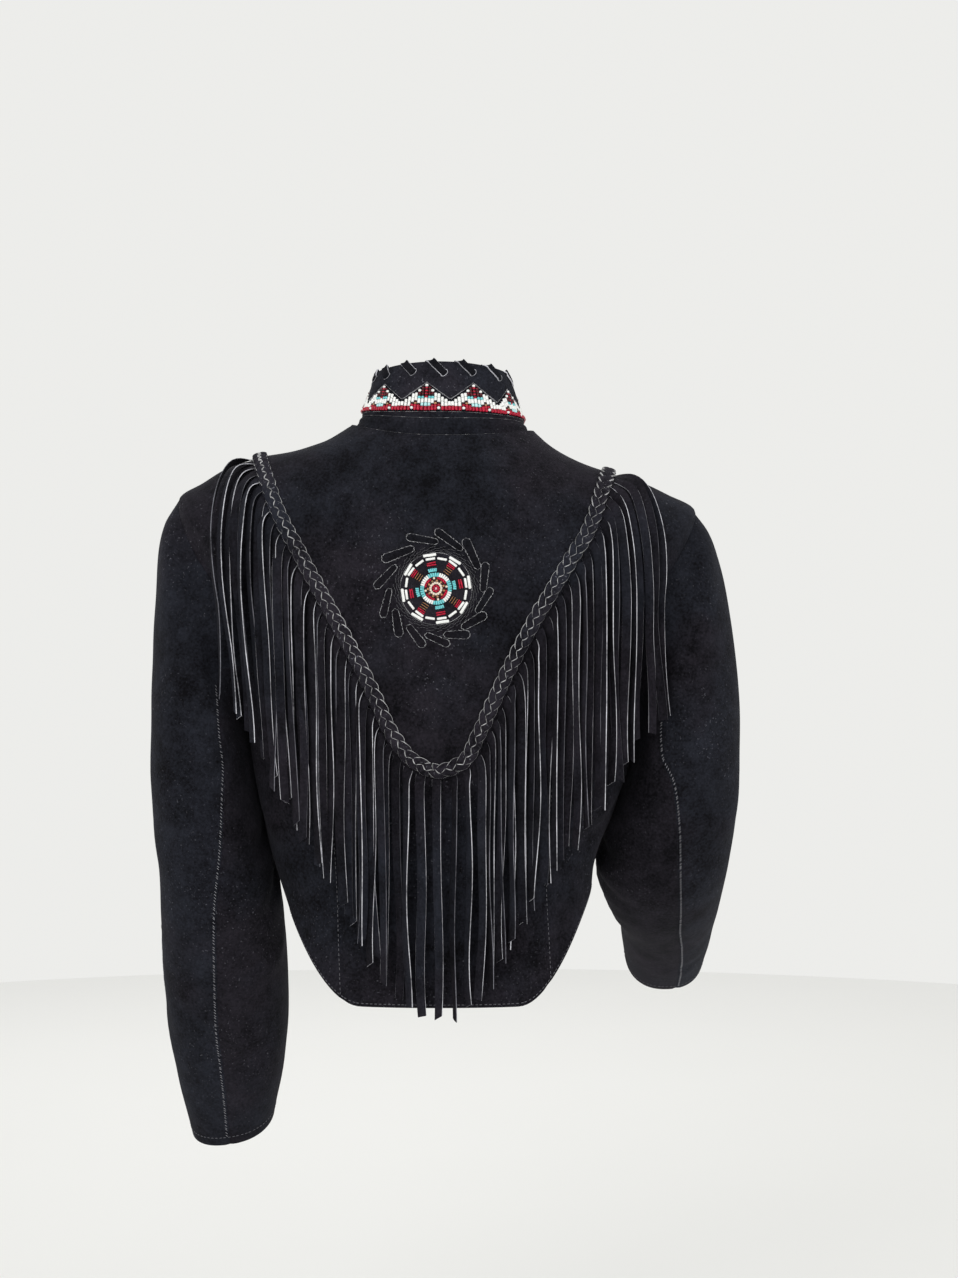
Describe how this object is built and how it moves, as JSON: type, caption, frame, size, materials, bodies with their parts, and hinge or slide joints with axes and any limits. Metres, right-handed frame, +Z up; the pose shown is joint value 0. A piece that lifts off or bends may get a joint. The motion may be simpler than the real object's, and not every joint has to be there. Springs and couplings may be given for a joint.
{
  "type": "fringed suede jacket",
  "caption": "Cropped black suede jacket worn open-necked, with a V yoke edged in plaited braid and long fringe, beaded collar and rosette.",
  "frame": {"origin": "middle of the neck opening at shoulder height, where the shoulders carry the jacket", "axes": "+Z up, +Y behind the wearer, +X towards the wearer's left"},
  "size_m": [0.538, 0.3645, 0.7237],
  "materials": {
    "suede": "napped black suede, mottled, dull",
    "suede_braid": "plaited black suede thong with pale cut edges",
    "suede_fringe": "black suede strips with pale cut edges",
    "glass_beads": "opaque glass seed and bugle beads, glossy",
    "stitched_feather": "applied dark suede outlined with pale stitching"
  },
  "bodies": {
    "root": {"back_centre": "suede", "back_side_left": "suede", "back_side_right": "suede", "yoke_back": "suede", "front_left": "suede", "front_right": "suede", "sleeve_top_left": "suede", "sleeve_under_left": "suede", "sleeve_top_right": "suede", "sleeve_under_right": "suede", "neckband": "suede", "collar": "suede", "collar_points": "suede", "braid_left": "suede_braid", "braid_right": "suede_braid", "collar_lace_01": "suede_braid", "collar_lace_02": "suede_braid", "collar_lace_03": "suede_braid", "collar_lace_04": "suede_braid", "collar_lace_05": "suede_braid", "collar_lace_06": "suede_braid", "collar_lace_07": "suede_braid", "collar_lace_08": "suede_braid", "collar_lace_09": "suede_braid", "collar_lace_10": "suede_braid", "collar_lace_11": "suede_braid", "collar_lace_12": "suede_braid", "collar_lace_13": "suede_braid", "collar_lace_14": "suede_braid", "collar_lace_15": "suede_braid", "fringe_left": "suede_fringe", "fringe_right": "suede_fringe", "bead_band": "glass_beads", "rosette": "glass_beads", "feather_01": "stitched_feather", "feather_02": "stitched_feather", "feather_03": "stitched_feather", "feather_04": "stitched_feather", "feather_05": "stitched_feather", "feather_06": "stitched_feather", "feather_07": "stitched_feather", "feather_08": "stitched_feather", "feather_09": "stitched_feather", "feather_10": "stitched_feather", "feather_11": "stitched_feather", "feather_12": "stitched_feather", "feather_13": "stitched_feather"}
  },
  "joints": []
}
